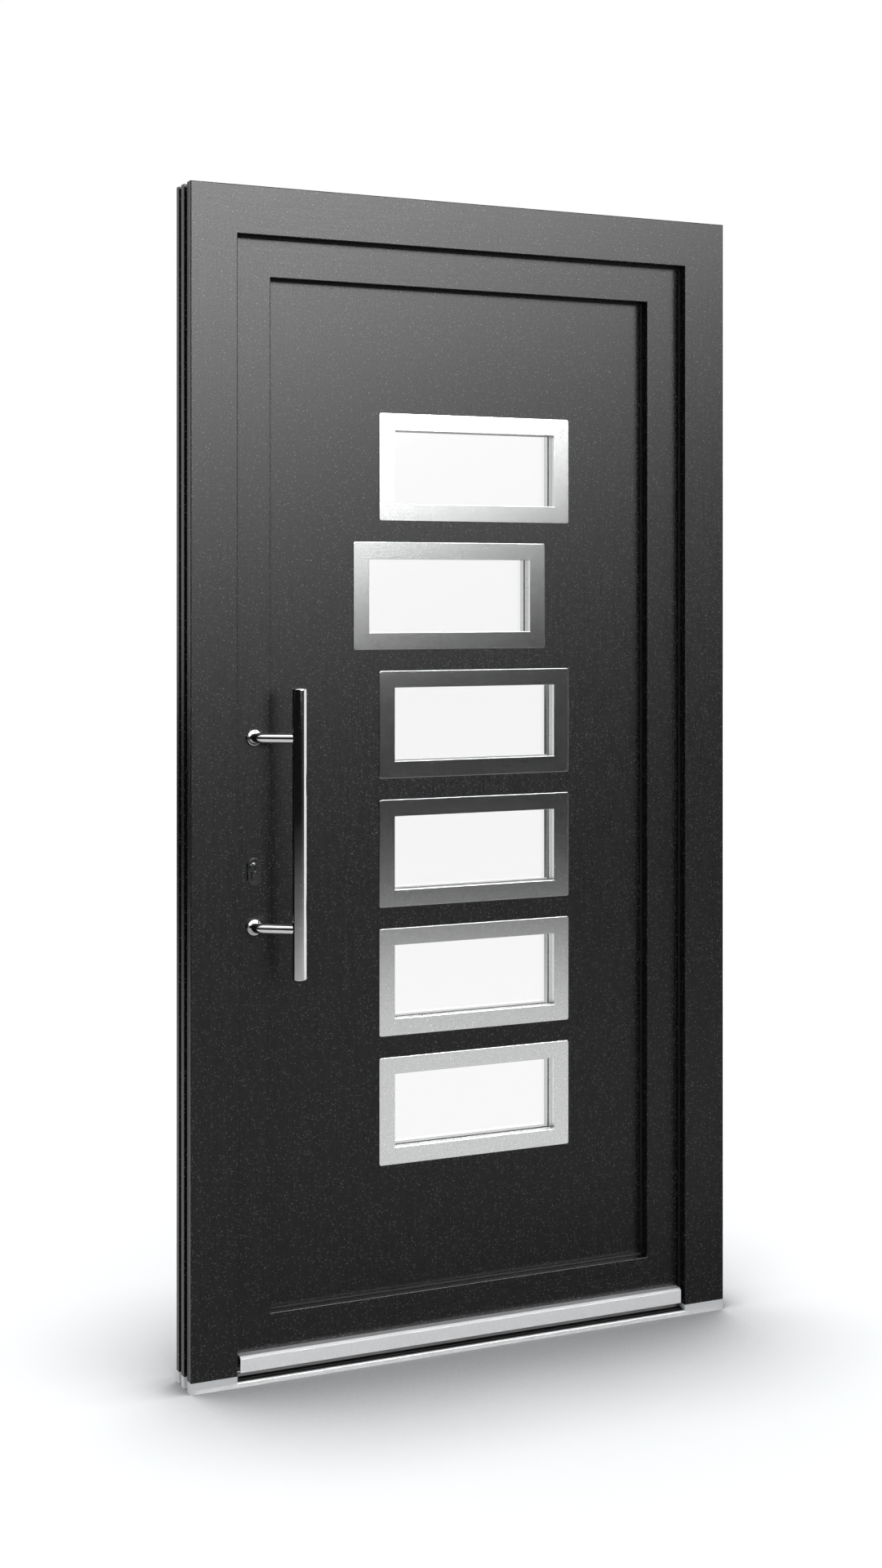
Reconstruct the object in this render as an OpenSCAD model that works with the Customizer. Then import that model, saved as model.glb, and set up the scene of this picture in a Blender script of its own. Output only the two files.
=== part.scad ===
// Inward-opening plastic entrance door set, seen from outside with its hinges on the right.
// Millimetres, +Z up. The origin is the middle of the threshold's underside, half way
// through the frame's depth. +Y points into the building and +X to the hinge side.

/* [Door set] */
// Width over the frame
set_w = 1080; // [960:10:1300]
// Height from the floor to the top of the head
set_h = 2100; // [2000:10:2300]

/* [Frame profile] */
// Width of the frame's face
frame_face_w = 86; // [80:1:100]
// Depth of the frame from outside to inside
frame_depth = 82; // [80:1:100]
// Thickness of the stop in front of the leaf
stop_t = 19; // [17:1:24]
// Width from the wall side to the base of the rebate
rebate_w = 56; // [50:1:62]
// Depth of the two wide grooves on the wall side
wall_groove_deep = 8; // [5:0.5:12]
// Depth of the narrow groove behind the front rib
front_groove_deep = 3; // [2:0.5:6]
// Width of the front rib on the wall side
front_rib_w = 14.5; // [10:0.5:15]
// Distance from the outside face to the middle rib
middle_rib_y = 37; // [34:0.5:44]
// Width of the middle rib on the wall side
middle_rib_w = 15; // [10:0.5:18]
// Width of the rear rib on the wall side
rear_rib_w = 17; // [14:0.5:20]

/* [Leaf profile] */
// Depth of the leaf profile
leaf_depth = 82; // [78:1:92]
// Width of the leaf profile's face
leaf_face_w = 88; // [80:1:100]
// Gap between the stop and the leaf's face
leaf_gap = 5; // [5:0.5:7]
// Gap between the rebate's base and the leaf's edge
rebate_air = 12; // [11:0.5:14]
// Reach of the leaf's inner flange past its edge
flange_w = 20; // [18:0.5:22]
// Width of the upstand that holds the infill panel
upstand_w = 20; // [16:1:24]
// Thickness of that upstand
upstand_t = 20; // [16:1:22]
// Gap between the threshold and the leaf's lower edge
leaf_floor_gap = 6.5; // [5:0.5:9]
// Radius on the edges of all plastic profiles
edge_r = 1.5; // [0.5:0.25:2.5]

/* [Hardware groove] */
// Width of the hardware groove's mouth
groove_mouth_w = 16; // [14:0.5:18]
// Depth of the mouth, where the faceplate lies
groove_mouth_deep = 3.5; // [3:0.25:5]
// Width of the groove's inner part
groove_inner_w = 12; // [10:0.5:13]
// Depth of the whole groove
groove_deep = 11; // [9:0.5:14]
// Distance from the flange's front to the groove's centre line
groove_axis = 13; // [11:0.5:16]

/* [Seals] */
// Width of a seal's root and of its groove
seal_root_w = 4; // [3:0.25:5]
// Depth of a seal's groove
seal_root_deep = 3; // [2.5:0.25:4]
// Distance from the stop's edge to its seal groove
seal_inset = 6; // [5:0.5:8]
// Reach of a seal's lip into the opening
seal_show = 3; // [2:0.5:4]
// Gap left between a closing seal and what it closes on
seal_gap = 0.5; // [0.3:0.1:1]

/* [Threshold] */
// Height of the threshold
threshold_h = 20; // [18:1:25]
// Height of the threshold's front nose
nose_h = 9; // [7:0.5:11]
// Radius on the nose
nose_r = 2; // [1:0.25:2.5]
// Depth of the outer aluminium part
threshold_front_w = 28; // [24:1:34]
// Depth of the thermal break
threshold_core_w = 8; // [6:0.5:9]
// Width of the connector's outer cap, past which the threshold ends
connector_cap_w = 10; // [10:1:16]

/* [Infill panel] */
// Thickness of the infill panel
panel_t = 40; // [32:1:44]
// Gap between the panel's edge and the base of its rebate
panel_edge_gap = 5; // [3:0.5:6]
// Thickness of the panel's seal
panel_seal_t = 4; // [3:0.25:5]
// Width of the glazing bead
bead_w = 22; // [20:1:28]

/* [Windows] */
// Number of windows
window_count = 6; // [6:1:6]
// Width of a window's trim
trim_w = 390; // [300:5:440]
// Height of a window's trim
trim_h = 196; // [150:2:220]
// Width of the trim's border
trim_border = 31; // [26:1:40]
// Thickness of the trim plate
trim_t = 2; // [1.5:0.25:4]
// Corner radius of the trim
trim_r = 4; // [2:0.5:10]
// Height from one window to the next
window_pitch = 235; // [225:1:250]
// Offset of the windows to the hinge side
window_x = 30; // [0:1:50]
// Offset of the second window from the others
window_shift = -51; // [-80:1:0]
// Depth of the trim's sleeve outside
sleeve_out = 5; // [3:0.5:8]
// Wall of the trim's sleeve
sleeve_t = 2; // [1:0.25:3]
// Overlap of the glass behind the sleeve
glass_cover = 9; // [7:0.5:12]
// Thickness of one pane
pane_t = 4; // [3:0.5:6]
// Gap between the two panes
pane_gap = 16; // [12:1:20]
// Width of the spacer bar
spacer_w = 6; // [5:0.5:6]

/* [Weather bar] */
// Projection of the weather bar from the leaf
bar_out = 20; // [16:1:22]
// Height of the weather bar's lower edge
bar_z0 = 23.5; // [22:0.5:26]
// Height of the weather bar
bar_h = 29; // [24:1:40]
// Wall of the weather bar
bar_wall = 2.2; // [1.5:0.1:3]
// Gap beside the weather bar
bar_side_gap = 6.5; // [6.5:0.5:12]

/* [Pull handle] */
// Diameter of the pull bar
pull_d = 26; // [20:1:34]
// Length of the pull bar
pull_len = 510; // [400:10:900]
// Height of the middle of the pull bar
pull_z = 965; // [900:5:1100]
// Distance between the two supports
support_pitch = 334; // [250:2:380]
// Diameter of a support
support_d = 18; // [14:1:22]
// Distance from the leaf to the bar's centre line
pull_stand = 62.5; // [55:0.5:80]
// Sideways distance from the rosettes to the bar's centre line
pull_side = 62.5; // [45:0.5:75]
// Angle through which a support bends
support_turn = 55; // [52:1:62]
// Bend radius of a support
support_bend_r = 22; // [14:1:26]
// Diameter of a rosette
rosette_d = 28; // [26:0.5:34]
// Thickness of a rosette
rosette_t = 6; // [3:0.5:8]

/* [Lock] */
// Distance from the leaf's sight line to the cylinder and the rosettes
lock_inset = 32; // [26:1:40]
// Height of the lock cylinder
cylinder_z = 903; // [880:1:940]
// Radius of the cylinder's round part
cylinder_r = 8.5; // [8.5:0.1:8.8]
// Width of the cylinder's web
cylinder_web_w = 10; // [9:0.5:11]
// Drop of the web's end below the cylinder's centre
cylinder_drop = 20; // [19:0.5:21]
// Clearance round the cylinder and the supports in their holes
fit_gap = 0.1; // [0.05:0.05:0.3]
// Projection of the cylinder from its escutcheon
cylinder_out = 3; // [2:0.5:4]
// Width of the outside escutcheon
escutcheon_w = 23.5; // [22:0.5:32]
// Height of the outside escutcheon
escutcheon_h = 47.5; // [46:0.5:60]
// Drop of the escutcheon's middle below the cylinder's centre
escutcheon_drop = 7; // [5:0.5:8]
// Thickness of the outside escutcheon
escutcheon_t = 4; // [2:0.5:8]
// Length of the lock's faceplate
faceplate_len = 1700; // [1500:10:1750]
// Distance from the faceplate's ends to its end bolts
bolt_end = 200; // [120:10:400]
// Half the height of a bolt's slot
bolt_half_h = 20; // [12:1:24]
// Thickness of the lock's faceplate
faceplate_t = 3; // [2.5:0.25:3]
// Width of the inside backplate
backplate_w = 32; // [28:1:40]
// Height of the inside backplate
backplate_h = 230; // [190:2:260]
// Thickness of the inside backplate
backplate_t = 9; // [6:0.5:12]
// Distance from the cylinder up to the lever's spindle
lever_rise = 92; // [85:1:98]
// Diameter of the lever
lever_d = 19; // [16:0.5:22]
// Length of the lever's grip
lever_len = 125; // [105:1:150]
// Projection of the lever from its backplate
lever_out = 46; // [40:1:60]

/* [Keeps] */
// Thickness of a keep
keep_t = 3; // [2:0.5:4]
// Height of a keep
keep_h = 150; // [120:5:220]
// Half the width of a bolt
bolt_half_w = 5; // [4:0.25:5.5]
// Projection of a bolt when it is drawn back
bolt_out = 1; // [0.5:0.25:1.5]
// Clearance round a bolt in its keep
keep_play = 2; // [1:0.5:3]

/* [Hinges] */
// Radius of the hinge knuckles
knuckle_r = 9; // [8:0.5:9]
// Radius of the hinge pin
pin_r = 5; // [4:0.25:6]
// Running clearance between pin and knuckle
pin_play = 0.05; // [0.02:0.01:0.09]
// Height of one knuckle
knuckle_h = 36; // [28:1:46]
// Gap between two knuckles
knuckle_gap = 0.5; // [0.3:0.1:1]
// Width of the hinge plate on the frame, from the axis
hinge_frame_w = 26; // [20:1:30]
// Width of the hinge plate on the leaf, from the leaf's flange
hinge_leaf_w = 60; // [45:1:66]
// Thickness of the hinge plates
hinge_plate_t = 4; // [3:0.25:4]
// Height of the lowest hinge's middle
hinge_low_z = 250; // [200:5:350]
// Drop of the highest hinge's middle below the frame's top
hinge_top_drop = 250; // [200:5:350]
// Distance from the leaf's flange to the hinge axis
axis_out = 14; // [14:0.5:17]
// Distance from the leaf's inner face out to the hinge axis
axis_in = 6; // [5:0.5:8]

/* [Hidden] */

$fn = 48;
eps = 1;
reach = frame_face_w + leaf_face_w;

anthracite = "#3b3c3e";
steel = "#c9cacb";
alloy = "#d4d5d6";
plastic_grey = "#b9bbbd";
rubber = "#151516";
dark_metal = "#2a2b2c";
clear_glass = "#cfdfe2";

front_y = -frame_depth / 2;
rear_y = frame_depth / 2;
leaf_edge_w = rebate_w + rebate_air;
leaf_x = set_w / 2 - leaf_edge_w;
leaf_z0 = threshold_h + leaf_floor_gap;
leaf_z1 = set_h - leaf_edge_w;
leaf_y = front_y + stop_t + leaf_gap;
leaf_rear_y = leaf_y + leaf_depth;
flange_t = leaf_rear_y - rear_y - leaf_gap;
sight_x = leaf_x - leaf_face_w;
sight_z0 = leaf_z0 + leaf_face_w;
sight_z1 = leaf_z1 - leaf_face_w;
panel_rebate_w = leaf_face_w - upstand_w;
panel_y = leaf_y + upstand_t + panel_seal_t;
panel_rear_y = panel_y + panel_t;
panel_x = leaf_x - panel_rebate_w - panel_edge_gap;
panel_z0 = leaf_z0 + panel_rebate_w + panel_edge_gap;
panel_z1 = leaf_z1 - panel_rebate_w - panel_edge_gap;
groove_mid = leaf_depth - flange_t - groove_axis;
window_mid_z = (sight_z0 + sight_z1) / 2;
window_top_row = (window_count - 1) / 2;
hole_w = trim_w - 2 * trim_border;
hole_h = trim_h - 2 * trim_border;
glass_w = hole_w + 2 * glass_cover;
glass_h = hole_h + 2 * glass_cover;
cutout_gap = 2;
glass_y = panel_y + sleeve_out;
glass_rear_y = glass_y + 2 * pane_t + pane_gap;
lock_x = -sight_x - lock_inset;
escutcheon_y = leaf_y - escutcheon_t;
backplate_y = leaf_rear_y + backplate_t;
lever_z = cylinder_z + lever_rise;
pull_x = lock_x + pull_side;
pull_y = leaf_y - pull_stand;
axis_x = leaf_x + flange_w + axis_out;
axis_y = leaf_rear_y - axis_in;
hinge_h = 3 * knuckle_h + 2 * knuckle_gap;
hinge_top_z = set_h - hinge_top_drop;
hinge_middle_z = (hinge_low_z + hinge_top_z) / 2;

// Outlines with rounded corners: each point is [x, y, radius]
function unit(v) = v / norm(v);
function corner(a, b, c, r, n) =
    r == 0 ? [b] :
    let (u = unit(a - b), v = unit(c - b), half = acos(u * v) / 2,
         centre = b + unit(u + v) * r / sin(half),
         from = b + u * r / tan(half) - centre, to = b + v * r / tan(half) - centre,
         a0 = atan2(from.y, from.x), turn = (atan2(to.y, to.x) - a0 + 540) % 360 - 180)
    [for (i = [0 : n]) centre + r * [cos(a0 + turn * i / n), sin(a0 + turn * i / n)]];
function flat(p) = [p[0], p[1]];
function rounded(points, n = 3) = let (m = len(points))
    [for (i = [0 : m - 1]) each corner(flat(points[(i + m - 1) % m]), flat(points[i]),
        flat(points[(i + 1) % m]), len(points[i]) == 3 ? points[i][2] : 0, n)];

// Frame section: x runs from the wall side to the opening, y from outside to inside
function frame_outline() = let (
    s1 = frame_face_w - seal_inset, s0 = s1 - seal_root_w,
    g1 = front_rib_w, g2 = g1 + 2.5, g3 = g2 + 2.5,
    r1 = middle_rib_y, r2 = r1 + middle_rib_w, r3 = frame_depth - rear_rib_w,
    d = wall_groove_deep)
    rounded([[0, 0, edge_r], [frame_face_w, 0, edge_r], [frame_face_w, stop_t, edge_r],
        [s1, stop_t], [s1, stop_t - seal_root_deep], [s0, stop_t - seal_root_deep],
        [s0, stop_t], [rebate_w - 4, stop_t, edge_r], [rebate_w, stop_t + 18],
        [rebate_w, frame_depth, edge_r], [4, frame_depth], [0, frame_depth - 4],
        [0, r3], [d, r3], [d, r2], [0, r2], [0, r1], [d, r1], [d, g3], [0, g3], [0, g2],
        [front_groove_deep, g2], [front_groove_deep, g1], [0, g1]]);

// Leaf section: x runs from the leaf's edge to the panel, y from outside to inside.
// The lower rail has no inner flange, because it passes over the threshold.
function leaf_outline(flange) = let (
    s0 = leaf_face_w - seal_inset, s1 = s0 - seal_root_w, ft = leaf_depth - flange_t,
    f0 = -flange + seal_inset, f1 = f0 + seal_root_w,
    m0 = groove_mid - groove_mouth_w / 2, m1 = groove_mid + groove_mouth_w / 2,
    i0 = groove_mid - groove_inner_w / 2, i1 = groove_mid + groove_inner_w / 2)
    rounded(concat(
        [[0, 0, edge_r], [leaf_face_w, 0, edge_r], [leaf_face_w, upstand_t, edge_r],
         [s0, upstand_t], [s0, upstand_t - seal_root_deep], [s1, upstand_t - seal_root_deep],
         [s1, upstand_t], [panel_rebate_w, upstand_t], [panel_rebate_w, leaf_depth]],
        flange == 0 ? [[0, leaf_depth, edge_r]] :
            [[-flange, leaf_depth, edge_r], [-flange, ft, edge_r], [f0, ft],
             [f0, ft + seal_root_deep], [f1, ft + seal_root_deep], [f1, ft], [0, ft]],
        [[0, m1], [groove_mouth_deep, m1], [groove_mouth_deep, i1], [groove_deep, i1],
         [groove_deep, i0], [groove_mouth_deep, i0], [groove_mouth_deep, m0], [0, m0]]));

// An outline in X and Z, given thickness from y0 to y1
module slab(y0, y1) {
    translate([0, y1, 0]) rotate([90, 0, 0]) linear_extrude(y1 - y0) children();
}

// Members round a rectangle, mitred at its corners. The outline's x points inwards from
// the rectangle's edge. out is how far it reaches past the edge, low_out how far below.
module side_member(outline, x, z0, z1, out, low_out) {
    low = low_out == out ? [[-x - out, z0 - out]] :
        [[-x - out, z0 - low_out], [-x - low_out, z0 - low_out]];
    intersection() {
        translate([-x, 0, z0 - out]) linear_extrude(z1 - z0 + 2 * out) polygon(outline);
        slab(-reach, reach) polygon(concat(low,
            [[-x + reach, z0 + reach], [-x + reach, z1 - reach], [-x - out, z1 + out]]));
    }
}
module top_member(outline, x, z1, out) {
    intersection() {
        translate([0, 0, z1]) rotate([0, 90, 0])
            linear_extrude(2 * (x + out), center = true) polygon(outline);
        slab(-reach, reach) polygon([[-x - out, z1 + out], [-x + reach, z1 - reach],
            [x - reach, z1 - reach], [x + out, z1 + out]]);
    }
}
module low_member(outline, x, z0, out) {
    intersection() {
        translate([0, 0, z0]) rotate([0, -90, 0])
            linear_extrude(2 * (x + out), center = true) polygon(outline);
        slab(-reach, reach) polygon([[-x - out, z0 - out], [-x + reach, z0 + reach],
            [x - reach, z0 + reach], [x + out, z0 - out]]);
    }
}
module closed_ring(outline, x, z0, z1, out) {
    side_member(outline, x, z0, z1, out, out);
    mirror([1, 0, 0]) side_member(outline, x, z0, z1, out, out);
    top_member(outline, x, z1, out);
    low_member(outline, x, z0, out);
}
module box(x0, x1, y0, y1, z0, z1) {
    translate([x0, y0, z0]) cube([x1 - x0, y1 - y0, z1 - z0]);
}

// Threshold and the connectors under the jambs
threshold_x = set_w / 2 - connector_cap_w;
core_y = front_y + threshold_front_w;
threshold_rear_y = core_y + threshold_core_w;
module threshold_part(outline) {
    translate([0, front_y, 0]) rotate([90, 0, 90])
        linear_extrude(2 * threshold_x, center = true) polygon(outline);
}
module threshold_front() {
    color(alloy) threshold_part(rounded([[0, 0], [0, nose_h, nose_r],
        [threshold_front_w - 6, nose_h + 2.5], [threshold_front_w - 4, threshold_h],
        [threshold_front_w, threshold_h], [threshold_front_w, 0]]));
}
module threshold_core() {
    color(rubber) threshold_part([[threshold_front_w, 0],
        [threshold_front_w, threshold_h - 1],
        [threshold_front_w + threshold_core_w, threshold_h - 1],
        [threshold_front_w + threshold_core_w, 0]]);
}
module threshold_rear() {
    g = threshold_front_w + threshold_core_w;
    color(alloy) threshold_part([[g, 0], [g, threshold_h],
        for (k = [1 : 3]) each [[g + 8 * k, threshold_h], [g + 8 * k, threshold_h - 1],
            [g + 8 * k + 2, threshold_h - 1], [g + 8 * k + 2, threshold_h]],
        [frame_depth - 4, threshold_h], [frame_depth, threshold_h - 4], [frame_depth, 0]]);
}
module connector_left() {
    color(plastic_grey) difference() {
        translate([-set_w / 2, front_y, 0]) linear_extrude(threshold_h)
            polygon(frame_outline());
        threshold_front();
        box(-threshold_x, 0, core_y - eps, rear_y + eps, -eps, threshold_h + eps);
    }
}
module connector_right() mirror([1, 0, 0]) connector_left();

// Outer frame
module jamb_left() {
    color(anthracite) intersection() {
        translate([0, front_y, 0])
            side_member(frame_outline(), set_w / 2, -reach, set_h, eps, eps);
        box(-set_w, 0, -frame_depth, frame_depth, threshold_h, 2 * set_h);
    }
}
module jamb_right() mirror([1, 0, 0]) jamb_left();
module frame_head() {
    color(anthracite) translate([0, front_y, 0])
        top_member(frame_outline(), set_w / 2, set_h, eps);
}
module frame_seal() {
    s1 = frame_face_w - seal_inset;
    s0 = s1 - seal_root_w;
    tip = frame_face_w + seal_show;
    lip = stop_t + leaf_gap - seal_gap;
    outline = [[s0, stop_t - seal_root_deep], [s1, stop_t - seal_root_deep], [s1, stop_t],
        [tip, stop_t + 0.6], [tip, lip - 1.2], [s1, lip], [s0, lip]];
    color(rubber) intersection() {
        translate([0, front_y, 0]) {
            side_member(outline, set_w / 2, -reach, set_h, eps, eps);
            mirror([1, 0, 0]) side_member(outline, set_w / 2, -reach, set_h, eps, eps);
            top_member(outline, set_w / 2, set_h, eps);
        }
        box(-set_w, set_w, -frame_depth, frame_depth, threshold_h, 2 * set_h);
    }
}

// Keeps on the lock jamb, one behind each bolt
faceplate_z = (leaf_z0 + leaf_z1) / 2;
bolt_reach = faceplate_len / 2 - bolt_end;
bolt_heights = [faceplate_z - bolt_reach, cylinder_z + 2 * bolt_half_h,
    faceplate_z + bolt_reach];
module strike_keeps() {
    x0 = -set_w / 2 + rebate_w;
    y = leaf_y + groove_mid;
    color(steel) for (z = bolt_heights)
        difference() {
            box(x0, x0 + keep_t, y - groove_mouth_w, rear_y - edge_r, z - keep_h / 2,
                z + keep_h / 2);
            box(x0 - eps, x0 + keep_t + eps, y - bolt_half_w - keep_play,
                y + bolt_half_w + keep_play, z - bolt_half_h - keep_play,
                z + bolt_half_h + keep_play);
        }
}

// Leaf profiles
module leaf_stile_lock() {
    color(anthracite) difference() {
        translate([0, leaf_y, 0]) side_member(leaf_outline(flange_w), leaf_x, leaf_z0,
            leaf_z1, flange_w + eps, 0);
        slab(leaf_y - eps, leaf_rear_y + eps) cylinder_outline(fit_gap);
    }
}
module leaf_stile_hinge() {
    color(anthracite) mirror([1, 0, 0]) translate([0, leaf_y, 0])
        side_member(leaf_outline(flange_w), leaf_x, leaf_z0, leaf_z1, flange_w + eps, 0);
}
module leaf_rail_top() {
    color(anthracite) translate([0, leaf_y, 0])
        top_member(leaf_outline(flange_w), leaf_x, leaf_z1, flange_w + eps);
}
module leaf_rail_bottom() {
    color(anthracite) translate([0, leaf_y, 0])
        low_member(leaf_outline(0), leaf_x, leaf_z0, 0);
}
module leaf_seal() {
    f0 = -flange_w + seal_inset;
    f1 = f0 + seal_root_w;
    root = leaf_depth - flange_t + seal_root_deep;
    face = leaf_depth - flange_t;
    lip = face - leaf_gap + seal_gap;
    outline = [[f0, root], [f0, lip + 1.5], [f0 + 1, lip], [f1 - 1, lip], [f1, lip + 1.5],
        [f1, root]];
    color(rubber) intersection() {
        translate([0, leaf_y, 0]) {
            side_member(outline, leaf_x, leaf_z0, leaf_z1, flange_w, 0);
            mirror([1, 0, 0]) side_member(outline, leaf_x, leaf_z0, leaf_z1, flange_w, 0);
            top_member(outline, leaf_x, leaf_z1, flange_w);
        }
        box(-set_w, set_w, -2 * frame_depth, 2 * frame_depth, leaf_z0, 2 * set_h);
    }
}
module bottom_seal() {
    y = leaf_y + groove_mid;
    half = groove_inner_w / 2;
    x = leaf_x - leaf_face_w;
    color(rubber) {
        box(-x, x, y - half, y + half, leaf_z0 + groove_mouth_deep, leaf_z0 + groove_deep);
        box(-x, x, y - 2, y + 2, threshold_h + 5, leaf_z0 + groove_mouth_deep);
    }
}

// Infill panel, its seal and its beads
module panel_seal() {
    s0 = leaf_face_w - seal_inset;
    s1 = s0 - seal_root_w;
    tip = leaf_face_w + seal_show;
    back = upstand_t + panel_seal_t;
    color(rubber) translate([0, leaf_y, 0])
        closed_ring([[s1, upstand_t - seal_root_deep], [s0, upstand_t - seal_root_deep],
            [s0, upstand_t], [tip, upstand_t + 0.6], [tip, back], [s1, back]],
            leaf_x, leaf_z0, leaf_z1, 0);
}
module infill_panel() {
    color(anthracite) difference() {
        box(-panel_x, panel_x, panel_y, panel_rear_y, panel_z0, panel_z1);
        for (k = [1 : window_count])
            at_window(k) box(-glass_w / 2 - cutout_gap, glass_w / 2 + cutout_gap,
                panel_y - eps, panel_rear_y + eps, -glass_h / 2 - cutout_gap,
                glass_h / 2 + cutout_gap);
    }
}
module glazing_beads() {
    w0 = panel_rebate_w;
    y0 = panel_rear_y - leaf_y;
    color(anthracite) translate([0, leaf_y, 0])
        closed_ring(rounded([[w0, y0], [w0 + bead_w, y0], [w0 + bead_w, leaf_depth - 8],
            [w0 + bead_w - 6, leaf_depth, 2], [w0, leaf_depth]]),
            leaf_x, leaf_z0, leaf_z1, 0);
}

// Windows, counted from the top
module at_window(k) {
    translate([window_x + (k == 2 ? window_shift : 0), 0,
        window_mid_z + (window_top_row - k + 1) * window_pitch]) children();
}
module trim_outline() {
    w = trim_w / 2;
    h = trim_h / 2;
    difference() {
        polygon(rounded([[-w, -h, trim_r], [w, -h, trim_r], [w, h, trim_r],
            [-w, h, trim_r]], 6));
        square([hole_w, hole_h], center = true);
    }
}
module sleeve_outline() {
    difference() {
        square([hole_w + 2 * sleeve_t, hole_h + 2 * sleeve_t], center = true);
        square([hole_w, hole_h], center = true);
    }
}
module window_trim(k) {
    color(steel) at_window(k) {
        slab(panel_y - trim_t, panel_y) trim_outline();
        slab(panel_y - trim_t / 2, glass_y) sleeve_outline();
    }
}
module inner_trims() {
    color(steel) for (k = [1 : window_count]) at_window(k) {
        slab(panel_rear_y, panel_rear_y + trim_t) trim_outline();
        slab(glass_rear_y, panel_rear_y + trim_t / 2) sleeve_outline();
    }
}
module window_glass() {
    color(clear_glass) for (k = [1 : window_count]) at_window(k)
        for (y = [glass_y, glass_rear_y - pane_t])
            box(-glass_w / 2, glass_w / 2, y, y + pane_t, -glass_h / 2, glass_h / 2);
}
module glass_spacers() {
    color(dark_metal) for (k = [1 : window_count]) at_window(k)
        slab(glass_y + pane_t, glass_y + pane_t + pane_gap) difference() {
            square([glass_w - 2, glass_h - 2], center = true);
            square([glass_w - 2 - 2 * spacer_w, glass_h - 2 - 2 * spacer_w], center = true);
        }
}

// Weather bar across the foot of the leaf
module weather_bar() {
    x0 = -set_w / 2 + frame_face_w + bar_side_gap;
    t = bar_wall;
    top = bar_z0 + bar_h;
    color(alloy) translate([0, leaf_y - bar_out, 0]) rotate([90, 0, 90])
        linear_extrude(-2 * x0, center = true)
            polygon([[bar_out, top], [4, top - 1], [0, top - 5], [0, bar_z0], [t, bar_z0],
                [t, top - 5 - t / 2], [4 + t / 2, top - 1 - t], [bar_out - t, top - t],
                [bar_out - t, leaf_z0 + 2], [bar_out, leaf_z0 + 2]]);
}

// Pull handle: the supports leave their rosettes square to the leaf, then bend to the bar
module pull_bar() {
    color(steel) translate([pull_x, pull_y, pull_z])
        rotate_extrude() polygon(rounded([[0, -pull_len / 2],
            [pull_d / 2, -pull_len / 2, 2.5], [pull_d / 2, pull_len / 2, 2.5],
            [0, pull_len / 2]]));
}
support_run = (pull_side - support_bend_r * (1 - cos(support_turn))) / sin(support_turn);
support_foot = pull_stand - support_bend_r * sin(support_turn)
    - support_run * cos(support_turn);
// The straight run enters the bend a hair thinner, as a ground weld leaves it
weld_len = 0.8;
weld_step = 0.1;
module pull_supports() {
    r = support_d / 2;
    color(steel) for (side = [-1, 1])
        difference() {
            translate([lock_x, leaf_y, pull_z + side * support_pitch / 2]) {
                rotate([90, 0, 0]) cylinder(h = support_foot, r = r);
                translate([support_bend_r, -support_foot, 0]) {
                    rotate([0, 0, 180]) rotate_extrude(angle = support_turn)
                        translate([support_bend_r, 0]) circle(r);
                    rotate([0, 0, support_turn])
                        translate([-support_bend_r, weld_len, 0]) rotate([90, 0, 0])
                            cylinder(h = support_run + weld_len, r = r - weld_step);
                }
            }
            translate([pull_x, pull_y, pull_z]) cylinder(h = pull_len, r = pull_d / 2,
                center = true);
        }
}
module pull_rosettes() {
    color(steel) for (side = [-1, 1])
        translate([lock_x, leaf_y, pull_z + side * support_pitch / 2]) rotate([90, 0, 0])
            rotate_extrude() polygon(rounded([[support_d / 2 + fit_gap, 0],
                [rosette_d / 2, 0], [rosette_d / 2, rosette_t, 1.5],
                [support_d / 2 + fit_gap, rosette_t]]));
}

// Lock
module cylinder_outline(grow) {
    translate([lock_x, cylinder_z]) {
        circle(cylinder_r + grow);
        translate([-cylinder_web_w / 2 - grow, -cylinder_drop])
            square([cylinder_web_w + 2 * grow, cylinder_drop]);
        translate([0, -cylinder_drop]) circle(cylinder_web_w / 2 + grow);
    }
}
module pill(w, h) {
    for (z = [-1, 1]) translate([0, z * (h - w) / 2]) circle(w / 2);
    square([w, h - w], center = true);
}
module escutcheon() {
    color(dark_metal) slab(escutcheon_y, leaf_y) difference() {
        translate([lock_x, cylinder_z - escutcheon_drop]) pill(escutcheon_w, escutcheon_h);
        cylinder_outline(fit_gap);
    }
}
module lock_cylinder() {
    color(dark_metal)
        slab(escutcheon_y - cylinder_out, backplate_y + cylinder_out) cylinder_outline(0);
}
module lock_faceplate() {
    y = leaf_y + groove_mid;
    half = groove_mouth_w / 2;
    x = -leaf_x + groove_mouth_deep;
    color(steel) difference() {
        box(x - faceplate_t, x, y - half, y + half, faceplate_z - faceplate_len / 2,
            faceplate_z + faceplate_len / 2);
        for (b = bolt_heights)
            box(x - faceplate_t - eps, x + eps, y - bolt_half_w, y + bolt_half_w,
                b - bolt_half_h, b + bolt_half_h);
    }
}
module lock_bolts() {
    y = leaf_y + groove_mid;
    x = -leaf_x + groove_mouth_deep - faceplate_t;
    color(steel) for (b = bolt_heights)
        box(x - bolt_out, -leaf_x + groove_deep, y - bolt_half_w, y + bolt_half_w,
            b - bolt_half_h, b + bolt_half_h);
}
module lever_backplate() {
    z = cylinder_z + lever_rise / 2;
    color(steel) slab(leaf_rear_y, backplate_y) difference() {
        translate([lock_x, z]) pill(backplate_w, backplate_h);
        cylinder_outline(fit_gap);
    }
}
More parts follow.
